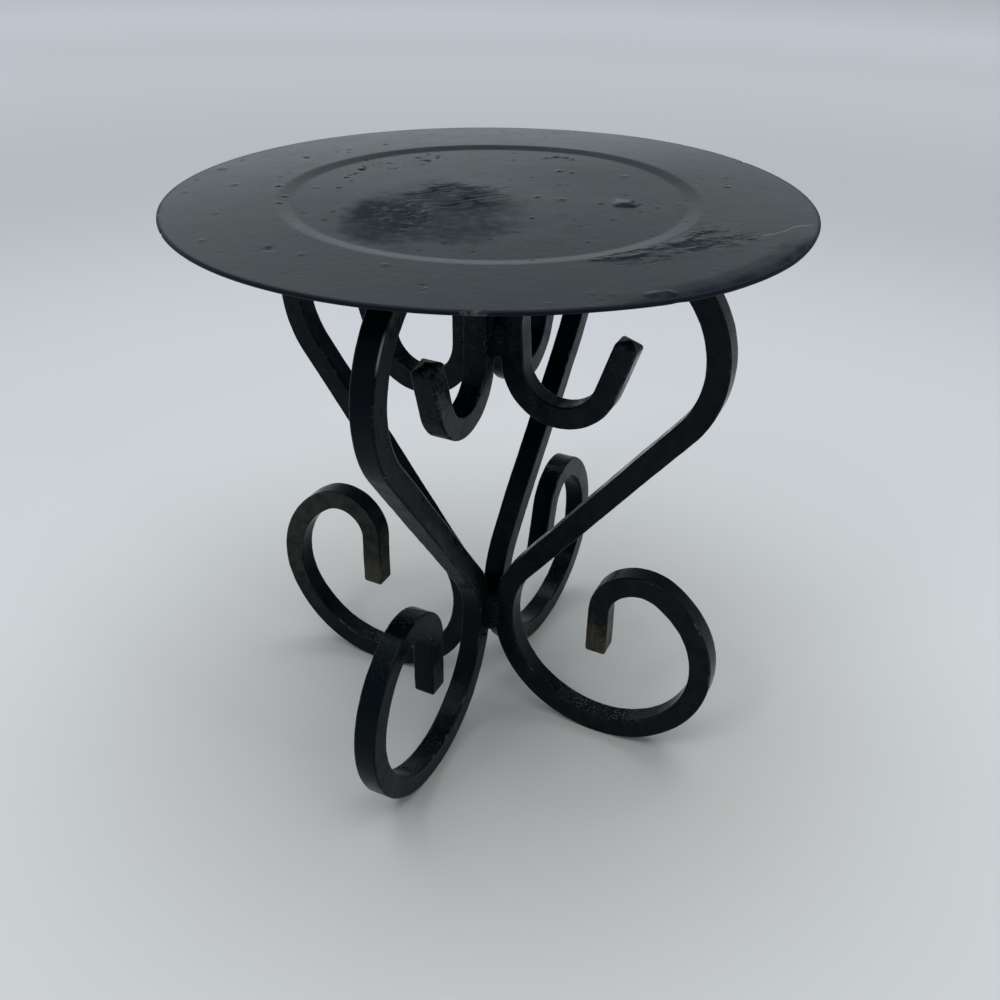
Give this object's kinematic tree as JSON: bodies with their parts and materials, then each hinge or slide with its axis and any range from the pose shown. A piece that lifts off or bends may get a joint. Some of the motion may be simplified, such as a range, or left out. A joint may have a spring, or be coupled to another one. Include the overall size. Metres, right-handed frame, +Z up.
{
  "type": "candle stand",
  "caption": "Shallow round sheet dish with a recessed well for a pillar candle, carried on welded S-scroll legs of square iron bar, painted satin black.",
  "frame": {"origin": "on the floor under the middle of the dish, where the four feet stand", "axes": "+Z up along the axis through the dish; the legs lie along +X, +Y, -X and -Y"},
  "size_m": [0.152, 0.152, 0.1516],
  "materials": {
    "dish_paint": "satin black paint, pitted and blistered",
    "bar_paint": "satin black paint with light rust on the ends",
    "weld_paint": "black paint over rough weld"
  },
  "bodies": {
    "root": {"dish": "dish_paint", "leg_right": "bar_paint", "leg_back": "bar_paint", "leg_left": "bar_paint", "leg_front": "bar_paint", "dish_weld_right": "weld_paint", "dish_weld_back": "weld_paint", "dish_weld_left": "weld_paint", "dish_weld_front": "weld_paint", "waist_weld_right": "weld_paint", "waist_weld_back": "weld_paint", "waist_weld_left": "weld_paint", "waist_weld_front": "weld_paint", "hub_weld_right": "weld_paint", "hub_weld_back": "weld_paint", "hub_weld_left": "weld_paint", "hub_weld_front": "weld_paint"}
  },
  "joints": []
}
